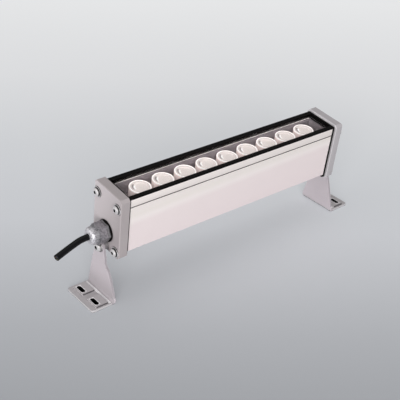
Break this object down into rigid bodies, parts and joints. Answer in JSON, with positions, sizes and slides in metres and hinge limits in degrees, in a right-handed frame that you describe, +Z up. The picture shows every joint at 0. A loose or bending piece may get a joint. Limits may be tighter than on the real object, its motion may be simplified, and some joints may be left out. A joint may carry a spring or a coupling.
{
  "type": "outdoor wall washer light",
  "caption": "Linear outdoor wall washer: extruded housing with a row of lenses behind glass, cast end caps, cable gland and two tilting slotted feet.",
  "frame": {"origin": "on the mounting surface, midway between the two feet and midway front to back of the whole light without its cable", "axes": "+X along the light away from the cable end, +Y to the back, +Z up from the feet"},
  "size_m": [0.4306, 0.0586, 0.137],
  "materials": {
    "housing": "extruded, pale pinkish white satin anodised",
    "glass": "clear toughened pane, polished faces, ground edges",
    "black_rubber": "black silicone or EPDM, dull",
    "tray": "folded sheet, dark grey matt coat",
    "lens": "clear acrylic, polished, fine moulded face",
    "white_plastic": "moulded white, satin",
    "board_white": "aluminium-core board with white solder mask",
    "emitter": "yellow phosphor under a clear dome",
    "steel": "plain stainless steel, turned and rolled",
    "red_insulation": "extruded insulation on stranded wire",
    "black_plastic": "moulded black",
    "board_green": "glass-fibre board with green mask",
    "copper": "enamelled copper windings and cores",
    "capacitor": "cans in dark blue sleeves",
    "terminal_green": "moulded green",
    "end_cap": "die cast, satin grey coat with fine grain",
    "gland": "dull nickel plate",
    "cable": "black round sheath, satin",
    "core_insulation": "extruded insulation on stranded wire",
    "bracket": "pressed steel plate, satin grey coat with fine grain",
    "collar": "turned, plain"
  },
  "bodies": {
    "light": {"housing_profile": "housing", "glass_pane": "glass", "glass_seal": "black_rubber", "lens_tray": "tray", "lenses": "lens", "lens_holders": "white_plastic", "light_board": "board_white", "emitters": "emitter", "board_screws": "steel", "board_lead": "red_insulation", "driver_trough": "black_plastic", "driver_board": "board_green", "driver_coils": "copper", "driver_capacitors": "capacitor", "driver_chips": "black_plastic", "terminal_block": "terminal_green", "end_cap_left": "end_cap", "end_cap_right": "end_cap", "end_gasket_left": "black_rubber", "end_gasket_right": "black_rubber", "end_screws_left": "steel", "end_screws_right": "steel", "end_split_washers_left": "steel", "end_split_washers_right": "steel", "end_seal_washers_left": "steel", "end_seal_washers_right": "steel", "gland_base": "gland", "gland_ring": "black_rubber", "gland_dome_nut": "gland", "gland_grommet": "black_rubber", "gland_locknut": "gland", "inner_cord": "cable", "inner_cores": "core_insulation", "supply_cord": "cable", "pivot_screw_left": "steel", "pivot_screw_right": "steel", "pivot_split_washer_left": "steel", "pivot_split_washer_right": "steel", "pivot_washer_left": "steel", "pivot_washer_right": "steel", "pivot_collar_left": "collar", "pivot_collar_right": "collar"},
    "bracket_left": {"bracket_left": "bracket"},
    "bracket_right": {"bracket_right": "bracket"}
  },
  "joints": [
    {"name": "left_bracket_tilt", "type": "hinge", "parent": "light", "child": "bracket_left", "pos_m": [-0.1696, 0.00329, 0.063], "axis": [1, 0, 0], "range_deg": [-79, 81]},
    {"name": "right_bracket_tilt", "type": "hinge", "parent": "light", "child": "bracket_right", "pos_m": [0.1696, 0.00329, 0.063], "axis": [1, 0, 0], "range_deg": [-79, 81]}
  ]
}
